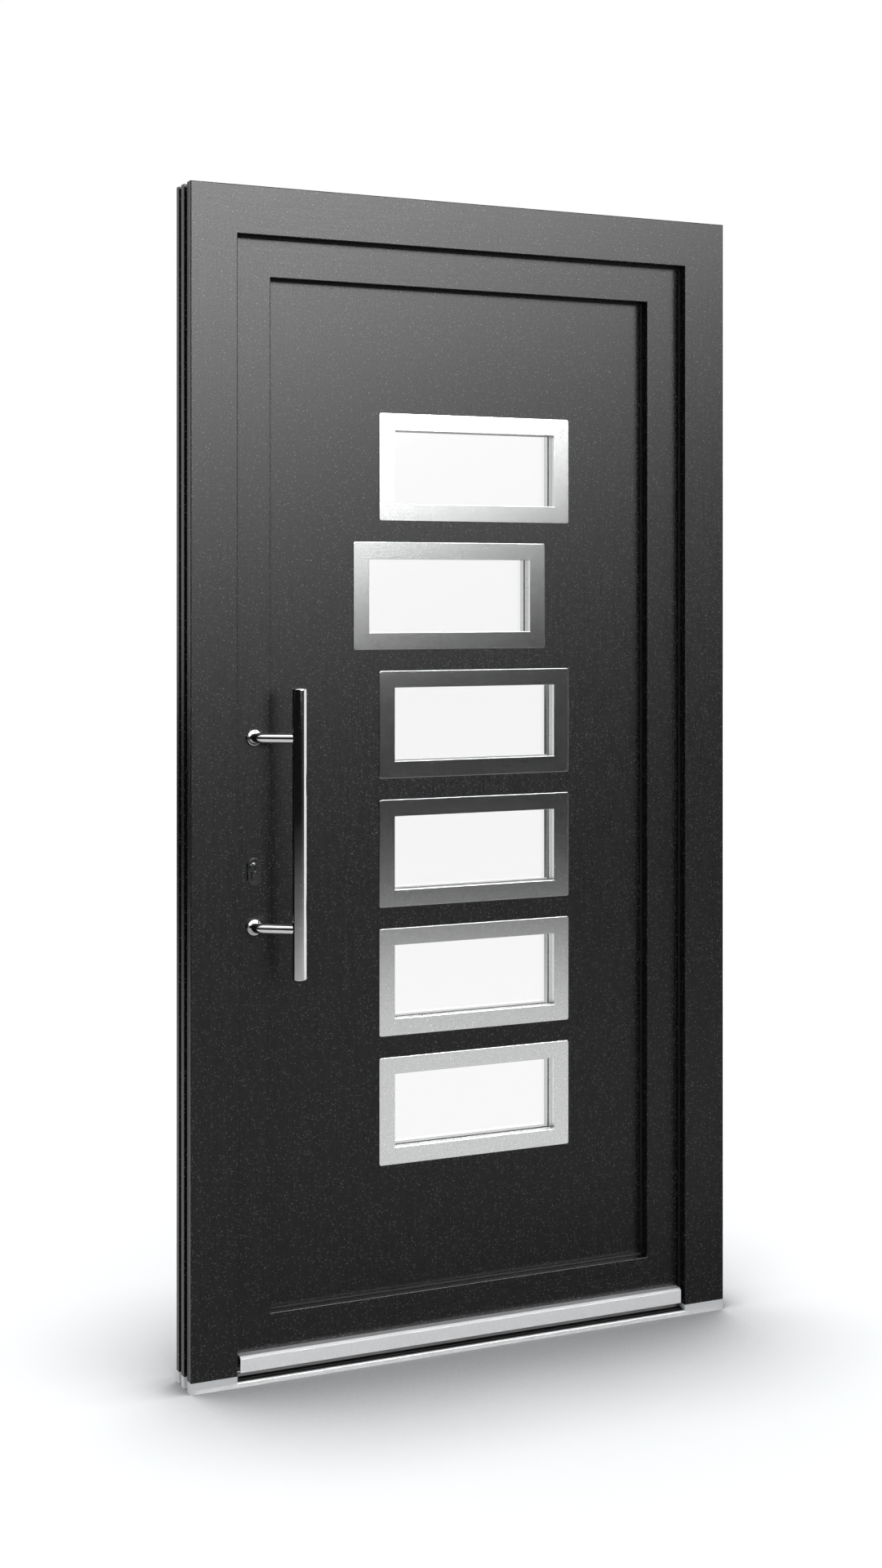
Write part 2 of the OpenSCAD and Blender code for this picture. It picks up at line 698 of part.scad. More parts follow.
module lever_handle() {
    r = lever_d / 2;
    bend = lever_d;
    color(steel) translate([lock_x, backplate_y, lever_z]) {
        rotate([-90, 0, 0]) cylinder(h = 4, r = r + 4);
        rotate([-90, 0, 0]) cylinder(h = lever_out - bend, r = r);
        translate([bend, lever_out - bend, 0]) rotate([0, 0, 90])
            rotate_extrude(angle = 90) translate([bend, 0]) circle(r);
        translate([bend, lever_out, 0]) rotate([0, 90, 0])
            cylinder(h = lever_len - bend, r = r);
    }
}

// Hinges: the frame half has two knuckles and the pin, the leaf half the middle knuckle
module hinge_frame(z) {
    h = hinge_h / 2;
    color(anthracite) translate([axis_x, axis_y, z]) {
        difference() {
            union() {
                translate([0, 0, -h]) cylinder(h = hinge_h, r = knuckle_r);
                box(-1, knuckle_r, rear_y - axis_y, 0, -h, h);
            }
            box(-2 * knuckle_r, 2 * knuckle_r, rear_y + hinge_plate_t - axis_y,
                2 * knuckle_r, -knuckle_h / 2 - knuckle_gap, knuckle_h / 2 + knuckle_gap);
        }
        box(-4, hinge_frame_w, rear_y - axis_y, rear_y + hinge_plate_t - axis_y, -h, h);
        translate([0, 0, -h]) cylinder(h = hinge_h, r = pin_r);
    }
}
module hinge_leaf(z) {
    h = hinge_h / 2;
    k = knuckle_h / 2;
    color(anthracite) translate([axis_x, axis_y, z]) difference() {
        union() {
            translate([0, 0, -k]) cylinder(h = knuckle_h, r = knuckle_r);
            box(-axis_out - hinge_leaf_w / 2, 0, axis_in, axis_in + hinge_plate_t, -k, k);
            box(-axis_out - hinge_leaf_w, -axis_out - 4, axis_in, axis_in + hinge_plate_t, -h, h);
        }
        translate([0, 0, -h]) cylinder(h = hinge_h, r = pin_r + pin_play);
    }
}

threshold_front();
threshold_core();
threshold_rear();
connector_left();
connector_right();
jamb_left();
jamb_right();
frame_head();
frame_seal();
strike_keeps();
hinge_frame(hinge_top_z);  // hinge_frame_top
hinge_frame(hinge_middle_z);  // hinge_frame_middle
hinge_frame(hinge_low_z);  // hinge_frame_bottom
leaf_stile_lock();
leaf_stile_hinge();
leaf_rail_top();
leaf_rail_bottom();
leaf_seal();
bottom_seal();
panel_seal();
infill_panel();
glazing_beads();
window_trim(1);  // window_trim_1
window_trim(2);  // window_trim_2
window_trim(3);  // window_trim_3
window_trim(4);  // window_trim_4
window_trim(5);  // window_trim_5
window_trim(6);  // window_trim_6
inner_trims();
window_glass();
glass_spacers();
weather_bar();
pull_bar();
pull_supports();
pull_rosettes();
escutcheon();
lock_cylinder();
lock_faceplate();
lock_bolts();
lever_backplate();
lever_handle();
hinge_leaf(hinge_top_z);  // hinge_leaf_top
hinge_leaf(hinge_middle_z);  // hinge_leaf_middle
hinge_leaf(hinge_low_z);  // hinge_leaf_bottom
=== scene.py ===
import math

import bmesh
import bpy
from mathutils import Matrix, Vector


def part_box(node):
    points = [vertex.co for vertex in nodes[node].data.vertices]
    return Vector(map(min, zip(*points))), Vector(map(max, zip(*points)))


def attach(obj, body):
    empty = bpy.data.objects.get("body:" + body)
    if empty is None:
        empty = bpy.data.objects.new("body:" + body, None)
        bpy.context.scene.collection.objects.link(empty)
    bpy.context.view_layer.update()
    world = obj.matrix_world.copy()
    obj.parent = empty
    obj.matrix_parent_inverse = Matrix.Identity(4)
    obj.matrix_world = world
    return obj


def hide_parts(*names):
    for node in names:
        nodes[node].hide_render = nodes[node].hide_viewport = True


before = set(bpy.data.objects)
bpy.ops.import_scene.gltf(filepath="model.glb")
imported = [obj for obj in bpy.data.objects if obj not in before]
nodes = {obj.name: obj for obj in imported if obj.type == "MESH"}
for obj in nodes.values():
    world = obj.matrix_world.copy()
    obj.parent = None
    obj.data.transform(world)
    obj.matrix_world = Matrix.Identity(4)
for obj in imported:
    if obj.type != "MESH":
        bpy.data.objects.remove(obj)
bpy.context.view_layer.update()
bpy.ops.object.select_all(action="DESELECT")

# Camera
# The photographed door stands turned 25 degrees, seen from outside and from its left,
# through a 50 mm lens held level, 1.384 m up. The picture is shifted up to keep the
# uprights parallel.
eye = (-1.738, -3.633, 1.384)
bpy.ops.object.camera_add(location=eye, rotation=(math.radians(90), 0, math.radians(-25)))
camera = bpy.context.object
camera.data.lens = 50
camera.data.sensor_width = 36
camera.data.shift_y = -232 / 1920
bpy.context.scene.camera = camera
bpy.context.scene.view_settings.view_transform = "Standard"


# Studio
# A seamless white floor and a white surround in plain soft light. Gloss alone mirrors
# more: a bank of lamps in front, above eye level and up to 30 times white, a board on the
# right, and a floor that dims with distance.
def linear(hex_colour):
    """An sRGB hex value as linear red, green, blue and 1."""
    parts = [int(hex_colour[i:i + 2], 16) / 255 for i in (1, 3, 5)]
    return [c / 12.92 if c <= 0.04045 else ((c + 0.055) / 1.055) ** 2.4 for c in parts] + [1]


def add_node(tree, kind, settings=None, **inputs):
    """A shader node with its settings, and its inputs set by value or linked by socket.
    i0, i1 and so on are inputs by their number."""
    made = tree.nodes.new("ShaderNode" + kind)
    for name, value in (settings or {}).items():
        setattr(made, name, value)
    for name, value in inputs.items():
        socket = made.inputs[int(name[1:]) if name[1:].isdigit() else name]
        if isinstance(value, bpy.types.NodeSocket):
            tree.links.new(value, socket)
        else:
            socket.default_value = value
    return made


def ramp(tree, value, stops):
    """A colour ramp from a value, with (place, grey or colour) stops."""
    made = add_node(tree, "ValToRGB", Fac=value)
    elements = made.color_ramp.elements
    elements[0].position, elements[1].position = stops[0][0], stops[-1][0]
    for place, _ in stops[1:-1]:
        elements.new(place)
    for element, (_, tone) in zip(elements, stops):
        element.color = tone if isinstance(tone, list) else (tone, tone, tone, 1)
    return made.outputs["Color"]


world = bpy.data.worlds.new("studio")
bpy.context.scene.world = world
world.cycles.sampling_method = "NONE"
world.use_nodes = True
tree = world.node_tree
tree.nodes.clear()
path = add_node(tree, "LightPath")
direction = add_node(tree, "SeparateXYZ", Vector=add_node(tree, "TexCoord").outputs["Generated"])

# The bank is a band whose lower edge climbs to the right. It is brightest in its middle
# and fades out upwards, downwards and to both sides.
bank_strength = 30.0
aside = add_node(tree, "Math", {"operation": "MAXIMUM"}, i0=direction.outputs["X"], i1=0.3)
slant = add_node(tree, "Math", {"operation": "MULTIPLY_ADD"}, i0=aside.outputs[0], i1=-0.47,
                 i2=0.158)
edge = add_node(tree, "Math", {"operation": "ADD"}, i0=direction.outputs["Z"],
                i1=slant.outputs[0])
climb = add_node(tree, "MapRange", i0=edge.outputs[0], i1=-0.1, i2=0.9)
bank = ramp(tree, climb.outputs["Result"],
            [(0.0, 0.0002), (0.03, 0.0036), (0.055, 0.009), (0.075, 0.018), (0.087, 0.028),
             (0.133, 0.05), (0.187, 0.25), (0.24, 0.55), (0.3, 0.85), (0.34, 1.0),
             (0.4, 1.0), (0.44, 0.25), (0.5, 0.0)])
rise = add_node(tree, "MapRange", i0=direction.outputs["X"], i1=-0.3, i2=0.2,
                i4=bank_strength)
fade = add_node(tree, "MapRange", i0=direction.outputs["X"], i1=0.58, i2=0.68, i3=1.0, i4=0.0)
power = add_node(tree, "Math", {"operation": "MULTIPLY"}, i0=rise.outputs["Result"],
                 i1=fade.outputs["Result"])
lamps = add_node(tree, "Background", Color=bank, Strength=power.outputs[0])

# A ceiling adds to the bank from overhead, and behind the door all is evenly pale. Only
# gloss sees these. Diffuse rays see a soft white, the camera and glass see plain white.
ceiling = add_node(tree, "Background", Strength=2.4, Color=ramp(
    tree, direction.outputs["Z"],
    [(0.0, 0.0), (0.42, 0.005), (0.55, 0.33), (0.75, 0.4), (0.86, 1.0)]))
front = add_node(tree, "AddShader", i0=lamps.outputs[0], i1=ceiling.outputs[0])
pale = add_node(tree, "Background", Color=(1, 1, 1, 1), Strength=0.85)
behind = add_node(tree, "MapRange", i0=direction.outputs["Y"], i1=0.1, i2=0.4)
mirrored = add_node(tree, "MixShader", i0=behind.outputs["Result"], i1=front.outputs[0],
                    i2=pale.outputs[0])
soft = add_node(tree, "Background", Color=linear("#f4f6f8"), Strength=0.95)
white = add_node(tree, "Background", Color=(1, 1, 1, 1), Strength=1.0)
first = add_node(tree, "MixShader", i0=path.outputs["Is Glossy Ray"], i1=soft.outputs[0],
                 i2=mirrored.outputs[0])
seen = add_node(tree, "Math", {"operation": "MAXIMUM"}, i0=path.outputs["Is Camera Ray"],
                i1=path.outputs["Is Transmission Ray"])
second = add_node(tree, "MixShader", i0=seen.outputs[0], i1=first.outputs[0],
                  i2=white.outputs[0])
add_node(tree, "OutputWorld", Surface=second.outputs[0])

# The camera sees white paint with a painted contact shadow, greyed where the door stands
# close over it. Gloss sees a glow, a painted reflection of the floor, that dims with distance,
# lifts a little towards the lamps as a painted spill of their light, and close to the door,
# on the right, is darkened by painted shade. Glass sees white.
bpy.ops.mesh.primitive_plane_add(size=60, location=(0, 0, 0))
floor = bpy.context.object
floor.name = "floor"
material = bpy.data.materials.new("white_floor")
material.use_nodes = True
tree = material.node_tree
tree.nodes.clear()
path = add_node(tree, "LightPath")
paint = add_node(tree, "BsdfDiffuse", Color=(0.8, 0.8, 0.8, 1))
# An occlusion ramp paints the door's contact shadow into the floor's colour.
covered = add_node(tree, "AmbientOcclusion", {"samples": 12}, Distance=0.55)
painted_contact_shadow = ramp(tree, covered.outputs["AO"], [(0.35, 0.2), (0.6, 0.36), (0.8, 0.72), (1.0, 1.0)])
lifted = add_node(tree, "VectorMath", {"operation": "SCALE"}, i0=painted_contact_shadow, Scale=1.25)
seen_paint = add_node(tree, "BsdfDiffuse", Color=lifted.outputs[0])
place = add_node(tree, "TexCoord")
away = add_node(tree, "VectorMath", {"operation": "LENGTH"}, i0=place.outputs["Object"])
far = add_node(tree, "MapRange", i0=away.outputs["Value"], i1=0.4, i2=12.4)
glow = add_node(tree, "Emission", Color=ramp(
    tree, far.outputs["Result"],
    [(0.0, 0.7), (0.083, 0.78), (0.167, 0.74), (0.225, 0.69), (0.383, 0.33), (0.467, 0.16),
     (0.633, 0.045), (0.8, 0.008)]))
heading = add_node(tree, "VectorMath", {"operation": "NORMALIZE"}, i0=place.outputs["Object"])
heading = add_node(tree, "SeparateXYZ", Vector=heading.outputs["Vector"])
near_lamps = add_node(tree, "MapRange", i0=heading.outputs["X"], i1=0.1, i2=0.35)
spill = add_node(tree, "Emission", Color=ramp(
    tree, near_lamps.outputs["Result"], [(0.0, 0.0), (1.0, 0.035)]))
glow = add_node(tree, "AddShader", i0=glow.outputs[0], i1=spill.outputs[0])
# Painted shade: close to the door on the right, the glow fades to black.
spot = add_node(tree, "SeparateXYZ", Vector=place.outputs["Object"])
right = add_node(tree, "MapRange", i0=spot.outputs["X"], i1=-0.4, i2=0.5, i4=0.45)
close = add_node(tree, "MapRange", i0=spot.outputs["Y"], i1=-0.9, i2=-0.4)
painted_door_shade = add_node(tree, "Math", {"operation": "MULTIPLY"}, i0=right.outputs["Result"],
               i1=close.outputs["Result"])
unlit = add_node(tree, "Emission", Color=(0, 0, 0, 1))
glow = add_node(tree, "MixShader", i0=painted_door_shade.outputs[0], i1=glow.outputs[0], i2=unlit.outputs[0])
through = add_node(tree, "Emission", Color=(1, 1, 1, 1))
mixed = add_node(tree, "MixShader", i0=path.outputs["Is Glossy Ray"], i1=paint.outputs[0],
                 i2=glow.outputs[0])
mixed = add_node(tree, "MixShader", i0=path.outputs["Is Transmission Ray"], i1=mixed.outputs[0],
                 i2=through.outputs[0])
mixed = add_node(tree, "MixShader", i0=path.outputs["Is Camera Ray"], i1=mixed.outputs[0],
                 i2=seen_paint.outputs[0])
add_node(tree, "OutputMaterial", Surface=mixed.outputs[0])
floor.data.materials.append(material)

# The board gives the edges that look to the right something pale to mirror.
bpy.ops.mesh.primitive_plane_add(size=1, location=(3.2, 0.1, 1.5),
                                 rotation=(0, math.radians(-90), 0))
board = bpy.context.object
board.name = "side_board"
board.scale = (3.0, 5.6, 1)
material = bpy.data.materials.new("white_board")
material.use_nodes = True
tree = material.node_tree
tree.nodes.clear()
shine = add_node(tree, "Emission", Color=(1, 1, 1, 1), Strength=1.25)
add_node(tree, "OutputMaterial", Surface=shine.outputs[0])
board.data.materials.append(material)
board.visible_camera = board.visible_diffuse = False
board.visible_transmission = board.visible_shadow = False

# One soft box from the upper left gives the shade its direction. Gloss doesn't see it.
key_place, key_target = Vector((-2.4, -3.0, 4.2)), Vector((0, 0, 1.4))
bpy.ops.object.light_add(type="AREA", location=key_place, rotation=(
    key_target - key_place).to_track_quat("-Z", "Y").to_euler())
key_light = bpy.context.object
key_light.name = "key_light"
key_light.data.shape = "RECTANGLE"
key_light.data.size, key_light.data.size_y = 2.5, 2.0
key_light.data.energy = 25
key_light.visible_glossy = False


# Threshold
# A low threshold of two extruded aluminium parts on a plastic thermal break. The alloy
# is anodised: even, pale, with a fine satin grain along the length.
def finish_material(name, colour, roughness, metallic=0.0, specular=0.5):
    """A material with one shader, set by plain values. Returns it, its tree and shader."""
    made = bpy.data.materials.new(name)
    made.use_nodes = True
    shader = made.node_tree.nodes["Principled BSDF"]
    shader.inputs["Base Color"].default_value = linear(colour)
    shader.inputs["Roughness"].default_value = roughness
    shader.inputs["Metallic"].default_value = metallic
    shader.inputs["Specular IOR Level"].default_value = specular
    return made, made.node_tree, shader


def grain(tree, along, across_mm, length_mm, detail=3.0):
    """Noise streaks of a given size, drawn out along X, Y or Z, or even for no axis.
    Most are a millimetre or two wide, coarser than real, so that they show."""
    place = add_node(tree, "TexCoord").outputs["Object"]
    counts = [1000 / across_mm] * 3
    if along:
        counts["XYZ".index(along)] = 1000 / length_mm
    stretched = add_node(tree, "Mapping", Vector=place, Scale=counts)
    return add_node(tree, "TexNoise", Vector=stretched.outputs["Vector"], Scale=1.0,
                    Detail=detail).outputs["Fac"]


def mottle(tree, shader, value, dark, light):
    """Colours a surface between two hex tones by a pattern value."""
    spread = add_node(tree, "MapRange", i0=value, i1=0.3, i2=0.7)
    tones = ramp(tree, spread.outputs["Result"], [(0.0, linear(dark)), (1.0, linear(light))])
    tree.links.new(tones, shader.inputs["Base Color"])


def roughen(tree, shader, value, low, high):
    """Lets the roughness vary between two values by a pattern value."""
    spread = add_node(tree, "MapRange", i0=value, i1=0.3, i2=0.7, i3=low, i4=high)
    tree.links.new(spread.outputs["Result"], shader.inputs["Roughness"])


def emboss(tree, shader, value, depth_mm):
    """Gives the surface a relief of a real depth from a pattern value."""
    relief = add_node(tree, "Bump", Height=value, Distance=depth_mm / 1000, Strength=1.0)
    tree.links.new(relief.outputs["Normal"], shader.inputs["Normal"])


def wear(material, *names):
    """Gives CAD nodes one material."""
    for name in names:
        mesh = nodes[name].data
        mesh.materials.clear()
        mesh.materials.append(material)


# Anodised aluminium is pale and satin: its faces read by their shade, with a soft sheen.
alloy, tree, shader = finish_material("anodised_aluminium", "#c6c7c8", 0.4, 0.4)
satin = grain(tree, "X", 1.6, 4)
mottle(tree, shader, satin, "#c0c0c1", "#d0d0d1")
roughen(tree, shader, satin, 0.37, 0.43)
emboss(tree, shader, satin, 0.004)

# Glass-filled polyamide is a dull dark line between the two metals.
break_plastic, tree, shader = finish_material("glass_filled_polyamide", "#17181a", 0.6)
emboss(tree, shader, grain(tree, None, 1.5, 0), 0.05)

# Moulded ABS has a faint pebble, so that the grey end blocks read as plastic.
grey, tree, shader = finish_material("moulded_grey_abs", "#c2c3c4", 0.45)
pebble = grain(tree, None, 1.8, 0)
mottle(tree, shader, pebble, "#bcbdbe", "#c8c9ca")
emboss(tree, shader, pebble, 0.05)
wear(alloy, "threshold_front", "threshold_rear")
wear(break_plastic, "threshold_core")
wear(grey, "connector_left", "connector_right")


# Outer frame
# Extruded upvc profiles, laminated with an anthracite wood-grain foil and welded at 45
# degrees. The embossed pores run along each profile, and light specks painted into the
# foil's colour stand for their glints.
def foil_finish(name, along):
    """The laminate foil, with its grain along one axis: nearly black, with a satin sheen,
    darker streaks and painted glints, light specks in its colour where the pores would
    catch the light. The specks stand larger and sparser than a foil's own, so that they
    show from where the camera stands."""
    speck_mm = 5
    made, tree, shader = finish_material(name, "#111112", 0.27, specular=0.22)
    pores = grain(tree, None, 2.6, 0, 2.0)
    streaks = grain(tree, along, 2.2, 90, 3.0)
    both = add_node(tree, "Math", {"operation": "MULTIPLY_ADD"}, i0=streaks, i1=0.6, i2=pores)
    half = add_node(tree, "Math", {"operation": "MULTIPLY"}, i0=both.outputs[0], i1=0.625)
    base = ramp(tree, half.outputs[0], [(0.35, linear("#060607")), (0.6, linear("#111112"))])
    # Painted glints: light specks mixed into the base colour where the pores would catch the
    # light.
    spots = add_node(tree, "TexVoronoi", Vector=add_node(tree, "TexCoord").outputs["Object"],
                     Scale=1000 / speck_mm)
    painted_glints = add_node(tree, "MapRange", i0=spots.outputs["Distance"], i1=0.22, i2=0.12)
    base_and_painted_glints = add_node(tree, "Mix", {"data_type": "RGBA"}, Factor=painted_glints.outputs["Result"],
                      i6=base, i7=linear("#626264"))
    tree.links.new(base_and_painted_glints.outputs[2], shader.inputs["Base Color"])
    roughen(tree, shader, half.outputs[0], 0.24, 0.31)
    emboss(tree, shader, half.outputs[0], 0.035)
    return made


foil_upright = foil_finish("wood_grain_foil_upright", "Z")
foil_level = foil_finish("wood_grain_foil_level", "X")

# Rubber is matt black, so that a seal reads as a dark line beside the foil's sheen.
rubber, tree, shader = finish_material("epdm_rubber", "#0d0d0e", 0.6, specular=0.3)
emboss(tree, shader, grain(tree, None, 2.0, 0), 0.04)
wear(foil_upright, "jamb_left", "jamb_right")
wear(foil_level, "frame_head")
wear(rubber, "frame_seal")


# Keeps
# Three pressed stainless keeps on the lock jamb, one for each bolt, and each held by two
# cross-recess screws.

# Brushed stainless is a bright metal whose streaks soften what it mirrors.
steel, tree, shader = finish_material("brushed_stainless", "#c6c7c8", 0.2, 1.0)
brushed = grain(tree, "X", 1.4, 30)
mottle(tree, shader, brushed, "#bcbdbe", "#cfd0d1")
roughen(tree, shader, brushed, 0.16, 0.24)
emboss(tree, shader, brushed, 0.012)
wear(steel, "strike_keeps")


def activate(piece):
    """Makes a piece the only selected and the active object."""
    bpy.ops.object.select_all(action="DESELECT")
    piece.select_set(True)
    bpy.context.view_layer.objects.active = piece


def apply_modifier(piece, kind, **settings):
    """Adds a modifier with its settings to a piece and applies it."""
    activate(piece)
    modifier = piece.modifiers.new(kind.lower(), kind)
    for name, value in settings.items():
        setattr(modifier, name, value)
    bpy.ops.object.modifier_apply(modifier=modifier.name)


def combine(piece, tool, operation="DIFFERENCE"):
    """Cuts a tool out of a piece, or welds it on with UNION, and removes the tool."""
    apply_modifier(piece, "BOOLEAN", object=tool, operation=operation, solver="EXACT")
    bpy.data.objects.remove(tool)


def merge(pieces, name):
    """Joins pieces into one."""
    bpy.ops.object.select_all(action="DESELECT")
    for piece in pieces:
        piece.select_set(True)
    bpy.context.view_layer.objects.active = pieces[0]
    bpy.ops.object.join()
    pieces[0].name = name
    return pieces[0]


def hand_over(piece, name, body, slot, material, *stands_for):
    """Names a finished piece, shades it smooth and hands it to the frame."""
    activate(piece)
    bpy.ops.object.shade_smooth_by_angle(angle=math.radians(40))
    apply_modifier(piece, "WEIGHTED_NORMAL", weight=100, keep_sharp=True)
    piece.name = name
    piece.data.materials.clear()
    piece.data.materials.append(material)
    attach(piece, body)
    if stands_for:
        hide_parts(*stands_for)


def block(low, high):
    """A box between two corners, its place already in its mesh."""
    centre = [(a + b) / 2 for a, b in zip(low, high)]
    bpy.ops.mesh.primitive_cube_add(size=1, location=centre)
    piece = bpy.context.object
    piece.scale = [b - a for a, b in zip(low, high)]
    bpy.ops.object.transform_apply(location=True, rotation=True, scale=True)
    return piece


def turned(radius, length, centre, axis="Z", edge=0.0, vertices=64):
    """A cylinder along an axis with its rims rounded."""
    turn = {"X": (0, math.radians(90), 0), "Y": (math.radians(90), 0, 0), "Z": (0, 0, 0)}[axis]
    bpy.ops.mesh.primitive_cylinder_add(vertices=vertices, radius=radius, depth=length,
                                        location=centre, rotation=turn)
    piece = bpy.context.object
    bpy.ops.object.transform_apply(location=True, rotation=True, scale=True)
    if edge:
        apply_modifier(piece, "BEVEL", width=edge, segments=3, limit_method="ANGLE",
                       angle_limit=math.radians(50))
    return piece


def screw_head(place, axis, outwards, radius):
    """The low head of a cross-recess screw on a face that looks along an axis."""
    head_length, head_middle, head_edge = 0.0012, 0.0004, 0.0005
    slot_half, slot_half_depth, slot_middle, slot_reach = 0.0005, 0.0009, 0.0011, 0.62
    k = "XYZ".index(axis)
    shift = [0.0, 0.0, 0.0]
    shift[k] = outwards * head_middle
    head = turned(radius, head_length, [a + b for a, b in zip(place, shift)], axis,
                  head_edge, 32)
    for long_side in range(3):
        if long_side != k:
            half = [slot_half] * 3
            half[long_side] = radius * slot_reach
            half[k] = slot_half_depth
            middle = list(place)
            middle[k] += outwards * slot_middle
            combine(head, block([m - h for m, h in zip(middle, half)],
                                [m + h for m, h in zip(middle, half)]))
    return head


# Zinc plate is greyer and duller than the steel under it, so that the screws show.
screw_zinc, tree, shader = finish_material("zinc_plated_steel", "#a9aaac", 0.3, 1.0)
patches = grain(tree, None, 3.0, 0)
mottle(tree, shader, patches, "#a0a1a3", "#b3b4b6")
roughen(tree, shader, patches, 0.26, 0.36)
low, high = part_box("strike_keeps")
keep_heights = (0.37925, 0.943, 1.67925)
keep_face, keep_y = high[0], (low[1] + high[1]) / 2
keep_screw_offset, small_head = 0.062, 0.0038
hand_over(merge([screw_head((keep_face, keep_y, z + side * keep_screw_offset), "X", 1,
                            small_head)
                 for z in keep_heights for side in (-1, 1)], "screws"),
          "keep_screws", "frame_set", "satin_steel", screw_zinc)


# Leaf
# The leaf's welded profiles in the same foil, with a seal round the flange, a seal
# under the lower rail and one in front of the panel.
wear(foil_upright, "leaf_stile_lock", "leaf_stile_hinge")
wear(foil_level, "leaf_rail_top", "leaf_rail_bottom")
wear(rubber, "leaf_seal", "bottom_seal", "panel_seal")


# Infill panel
# A flat insulated panel with foiled plastic skins and six cut-outs for the windows. It
# lies against a seal in front and is held from inside by mitred beads.
wear(foil_upright, "infill_panel", "glazing_beads")


# Windows
# Six sealed units of two panes, each between a stainless frame outside and one inside.
# A frame is a brushed plate with broken edges and a folded sleeve in the cut-out.
def pick(kind, test):
    """Selects the faces, edges or verts of the mesh being edited that pass a test."""
    bpy.ops.mesh.select_mode(type={"faces": "FACE", "edges": "EDGE", "verts": "VERT"}[kind])
    bpy.ops.mesh.select_all(action="DESELECT")
    mesh = bmesh.from_edit_mesh(bpy.context.object.data)
    for element in getattr(mesh, kind):
        element.select_set(test(element))
    mesh.select_flush_mode()
    bmesh.update_edit_mesh(bpy.context.object.data)


def runs_along(axis):
    """A test for edges that run along X, Y or Z."""
    k = "XYZ".index(axis)
    return lambda edge: all(abs(edge.verts[0].co[i] - edge.verts[1].co[i]) < 1e-6
                            for i in range(3) if i != k)


def round_corners(piece, axis, radius, segments=6):
    """Rounds the edges of a box that run along an axis."""
    activate(piece)
    bpy.ops.object.mode_set(mode="EDIT")
    pick("edges", runs_along(axis))
    bpy.ops.mesh.bevel(offset=radius, segments=segments, affect="EDGES")
    bpy.ops.object.mode_set(mode="OBJECT")


def copy_of(piece, name, offset=(0, 0, 0)):
    """A copy of a piece with its own mesh, moved in that mesh."""
    made = piece.copy()
    made.data = piece.data.copy()
    made.name = name
    made.data.transform(Matrix.Translation(offset))
    bpy.context.collection.objects.link(made)
    return made


trim_size, trim_corner, trim_edge = (0.390, 0.196), 0.004, 0.0007
hole_size = (0.328, 0.134)
panel_front, panel_back = 0.007, 0.047
glass_front, glass_back = 0.012, 0.036
plate = 0.002
column_x, top_z, pitch, second_aside = 0.03, 1.61675, 0.235, 0.051
window_centres = [(column_x - (second_aside if k == 1 else 0), top_z - pitch * k)
                  for k in range(6)]


def window_frame(plate_y, sleeve_y):
    """A trim frame round the origin in X and Z. Its plate starts at plate_y and its
    sleeve ends at sleeve_y."""
    w, h = [v / 2 for v in trim_size]
    a, b = [v / 2 for v in hole_size]
    towards = 1 if sleeve_y > plate_y else -1
    y0, y1 = sorted((plate_y, plate_y + towards * plate))
    piece = block((-w, y0, -h), (w, y1, h))
    round_corners(piece, "Y", trim_corner)
    y0, y1 = sorted((plate_y + towards * plate / 2, sleeve_y))
    combine(piece, block((-a - plate, y0, -b - plate), (a + plate, y1, b + plate)), "UNION")
    combine(piece, block((-a, -1, -b), (a, 1, b)))
    apply_modifier(piece, "BEVEL", width=trim_edge, segments=3, limit_method="ANGLE",
                   angle_limit=math.radians(50))
    return piece


# The trims' stainless is finely brushed: nearly a mirror, with only a faint even grain, so
# that a frame stands out bright and shaded against the foil.
trim_steel, tree, shader = finish_material("brushed_stainless_trim", "#dcdddd", 0.08, 1.0)
brushed = grain(tree, None, 2.2, 0)
mottle(tree, shader, brushed, "#d2d3d3", "#e6e7e7")
roughen(tree, shader, brushed, 0.07, 0.11)
emboss(tree, shader, brushed, 0.002)
outer = window_frame(panel_front - plate, glass_front)
for k, (x, z) in enumerate(window_centres):
    piece = copy_of(outer, "trim", (x, 0, z))
    hand_over(piece, f"outer_window_frame_{k + 1}", "leaf", "brushed_stainless", trim_steel,
              f"window_trim_{k + 1}")
bpy.data.objects.remove(outer)
inner = window_frame(panel_back + plate, glass_back)
copies = [copy_of(inner, "trim", (x, 0, z)) for x, z in window_centres]
bpy.data.objects.remove(inner)
hand_over(merge(copies, "inner"), "inner_window_frames", "leaf", "brushed_stainless",
          trim_steel, "inner_trims")

# Float glass is clear and all but colourless, so that the room behind shows through.
glass, tree, shader = finish_material("float_glass", "#fcfcfc", 0.0)
shader.inputs["Transmission Weight"].default_value = 1.0
shader.inputs["IOR"].default_value = 1.5
wear(glass, "window_glass")

# Rolled aluminium is a soft grey metal band, seen on edge between the panes.
spacer, tree, shader = finish_material("rolled_aluminium", "#cacbcc", 0.3, 1.0)
rolled = grain(tree, "Y", 2.0, 20)
mottle(tree, shader, rolled, "#c4c5c6", "#d0d1d2")
roughen(tree, shader, rolled, 0.26, 0.34)
wear(spacer, "glass_spacers")


